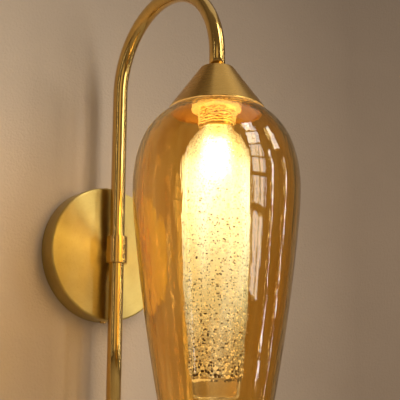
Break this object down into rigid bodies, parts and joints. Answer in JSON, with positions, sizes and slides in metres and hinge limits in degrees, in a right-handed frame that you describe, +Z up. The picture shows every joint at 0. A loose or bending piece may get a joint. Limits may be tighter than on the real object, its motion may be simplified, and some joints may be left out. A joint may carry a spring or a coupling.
{
  "type": "glass wall light",
  "caption": "Wall light with a round brass plate, gooseneck brass arm and cone, and an amber glass shade round a bubble-glass bottle that holds a small two-pin lamp.",
  "frame": {"origin": "centre of the wall plate on the wall, midway between the two wall-screw slots", "axes": "+Z up, +Y into the wall, so the light stands out towards -Y; +X to the right seen from the front"},
  "size_m": [0.123, 0.2188, 0.3468],
  "materials": {
    "brushed_brass": "brushed and lacquered",
    "satin_brass": "satin, drawn tube",
    "amber_glass": "clear amber with soft vertical streaks",
    "bubble_glass": "pale yellow, full of bubbles, clear base",
    "lamp_glass": "frosted",
    "zinc_steel": "zinc plated",
    "plain_brass": "machined, bare",
    "nickel_contact": "nickel plated",
    "spring_steel": "drawn wire",
    "ceramic": "unglazed white",
    "white_plastic": "matte white",
    "silicone": "clear silicone",
    "brown_wire": "silicone insulation",
    "blue_wire": "silicone insulation",
    "green_yellow_wire": "silicone insulation",
    "led_board": "phosphor coated"
  },
  "bodies": {
    "fixture": {"canopy": "brushed_brass", "wall_bracket": "zinc_steel", "canopy_screws": "plain_brass", "collar": "satin_brass", "stem_spigot": "satin_brass", "spigot_washer": "zinc_steel", "spigot_nut": "zinc_steel", "wire_bush": "white_plastic", "arm_tube": "satin_brass", "stem_end_cap": "satin_brass", "terminal_block": "white_plastic", "terminal_screws": "zinc_steel", "terminal_fixing_screw": "zinc_steel", "earth_screw": "plain_brass", "earth_terminal_bracket": "nickel_contact", "earth_terminal_spigot": "nickel_contact", "earth_wire": "green_yellow_wire", "live_wire": "brown_wire", "neutral_wire": "blue_wire", "cone_cap": "brushed_brass", "lampholder_nipple": "plain_brass", "nipple_washer": "zinc_steel", "nipple_locknut": "plain_brass", "lampholder_cap": "plain_brass", "lampholder_skirt": "plain_brass", "lampholder_insert": "ceramic", "socket_contacts": "nickel_contact", "shade_gasket": "silicone", "diffuser_spring_ring": "spring_steel"},
    "lamp": {"lamp_base": "ceramic", "lamp_pins": "nickel_contact", "lamp_envelope": "lamp_glass", "lamp_led_board": "led_board"},
    "bottle": {"diffuser": "bubble_glass"},
    "shade": {"outer_glass": "amber_glass"},
    "ring": {"shade_ring": "plain_brass"}
  },
  "joints": [
    {"name": "lamp_pull", "type": "slide", "parent": "fixture", "child": "lamp", "axis": [0, 0, -1], "range_m": [0, 0.02]},
    {"name": "diffuser_pull", "type": "slide", "parent": "fixture", "child": "bottle", "axis": [0, 0, -1], "range_m": [0, 0.24], "deforming": ["diffuser_spring_ring"]},
    {"name": "shade_drop", "type": "slide", "parent": "fixture", "child": "shade", "axis": [0, 0, -1], "range_m": [0, 0.014]},
    {"name": "ring_turn", "type": "hinge", "parent": "shade", "child": "ring", "pos_m": [0, -0.15735, 0.0908], "axis": [0, 0, -1], "range_deg": [0, 2520]}
  ],
  "couplings": [
    {"joint": "ring_turn", "follows": "shade_drop", "rad_per_m": 3141.6}
  ]
}
